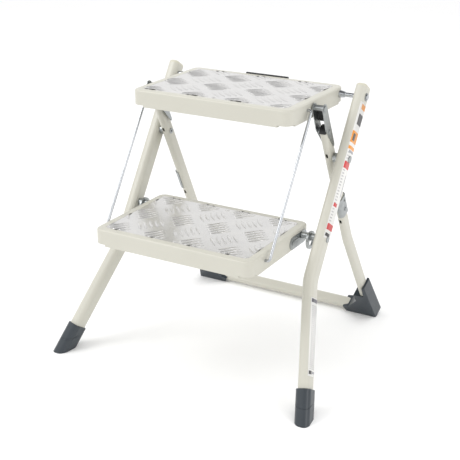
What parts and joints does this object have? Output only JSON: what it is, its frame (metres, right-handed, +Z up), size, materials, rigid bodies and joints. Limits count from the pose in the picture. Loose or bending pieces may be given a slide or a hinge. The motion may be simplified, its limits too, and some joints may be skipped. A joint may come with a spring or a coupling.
{
  "type": "folding step stool",
  "caption": "Folding two-step stool with splayed tubular front legs, a rear U-frame, wire links, toggle locks and flat metal treads.",
  "frame": {"origin": "on the floor, under the middle of the open stool's bounding box", "axes": "+Z up, +Y to the rear, +X to the right of somebody who faces the front of the steps from behind the lower step"},
  "size_m": [0.5128, 0.4506, 0.4809],
  "materials": {
    "cream_paint": "smooth cream powder coat",
    "cream_cap": "moulded cream plastic",
    "slate_rubber": "moulded slate blue-grey rubber",
    "tread_aluminium": "embossed satin aluminium",
    "zinc_steel": "zinc-plated pressed steel",
    "bright_steel": "bright plated steel",
    "dark_plastic": "dark moulded plastic"
  },
  "bodies": {
    "front_frame": {"left_front_leg": "cream_paint", "right_front_leg": "cream_paint", "left_leg_cap": "cream_cap", "right_leg_cap": "cream_cap", "left_front_foot": "slate_rubber", "right_front_foot": "slate_rubber", "left_crossing_pin": "zinc_steel", "right_crossing_pin": "zinc_steel", "left_crossing_spacer": "zinc_steel", "right_crossing_spacer": "zinc_steel", "left_step_pin": "zinc_steel", "right_step_pin": "zinc_steel", "left_pin_sleeves": "zinc_steel", "right_pin_sleeves": "zinc_steel", "left_stop_ring": "zinc_steel", "right_stop_ring": "zinc_steel", "top_pivot_rod": "bright_steel", "rod_washers": "zinc_steel"},
    "rear_frame": {"rear_u_tube": "cream_paint", "left_rear_foot": "slate_rubber", "right_rear_foot": "slate_rubber", "left_tube_plug": "dark_plastic", "right_tube_plug": "dark_plastic", "left_leg_clip": "zinc_steel", "right_leg_clip": "zinc_steel", "left_clip_rivet": "zinc_steel", "right_clip_rivet": "zinc_steel", "left_knee_rivet": "zinc_steel", "right_knee_rivet": "zinc_steel"},
    "top_step": {"top_step_tray": "cream_paint", "top_tread_plate": "tread_aluminium", "top_tread_rivets": "tread_aluminium", "top_step_rib": "cream_paint", "rear_hand_grip": "dark_plastic", "left_rod_bush": "bright_steel", "right_rod_bush": "bright_steel"},
    "lower_step": {"lower_step_tray": "cream_paint", "lower_tread_plate": "tread_aluminium", "lower_tread_rivets": "tread_aluminium", "lower_step_rib": "cream_paint", "left_pivot_plate": "zinc_steel", "right_pivot_plate": "zinc_steel"},
    "left_lock_link": {"left_lock_channel": "zinc_steel", "left_channel_liner": "dark_plastic", "left_lock_pin": "zinc_steel"},
    "right_lock_link": {"right_lock_channel": "zinc_steel", "right_channel_liner": "dark_plastic", "right_lock_pin": "zinc_steel"},
    "left_link_wire": {"left_link_rod": "bright_steel", "left_link_clips": "dark_plastic"},
    "right_link_wire": {"right_link_rod": "bright_steel", "right_link_clips": "dark_plastic"}
  },
  "joints": [
    {"name": "top_step_fold", "type": "hinge", "parent": "front_frame", "child": "top_step", "pos_m": [0, 0.09575, 0.4573], "axis": [1, 0, 0], "range_deg": [0, 45]},
    {"name": "lower_step_fold", "type": "hinge", "parent": "front_frame", "child": "lower_step", "pos_m": [0, -0.04291, 0.2456], "axis": [1, 0, 0], "range_deg": [0, 45]},
    {"name": "rear_frame_fold", "type": "hinge", "parent": "front_frame", "child": "rear_frame", "pos_m": [0, 0.03444, 0.3637], "axis": [1, 0, 0], "range_deg": [-47.06, 0]},
    {"name": "left_lock_knee", "type": "hinge", "parent": "rear_frame", "child": "left_lock_link", "pos_m": [0, 0.0098, 0.41359], "axis": [1, 0, 0], "range_deg": [0, 155.77]},
    {"name": "left_wire_hinge", "type": "hinge", "parent": "top_step", "child": "left_link_wire", "pos_m": [0, -0.03225, 0.4573], "axis": [1, 0, 0], "range_deg": [-45, 0]},
    {"name": "right_lock_knee", "type": "hinge", "parent": "rear_frame", "child": "right_lock_link", "pos_m": [0, 0.0098, 0.41359], "axis": [1, 0, 0], "range_deg": [0, 155.77]},
    {"name": "right_wire_hinge", "type": "hinge", "parent": "top_step", "child": "right_link_wire", "pos_m": [0, -0.03225, 0.4573], "axis": [1, 0, 0], "range_deg": [-45, 0]}
  ],
  "couplings": [
    {"joint": "lower_step_fold", "follows": "top_step_fold", "ratio": 1},
    {"joint": "rear_frame_fold", "follows": "top_step_fold", "ratio": -1.0458},
    {"joint": "left_lock_knee", "follows": "top_step_fold", "ratio": 3.4616},
    {"joint": "left_wire_hinge", "follows": "top_step_fold", "ratio": -1},
    {"joint": "right_lock_knee", "follows": "top_step_fold", "ratio": 3.4616},
    {"joint": "right_wire_hinge", "follows": "top_step_fold", "ratio": -1}
  ]
}
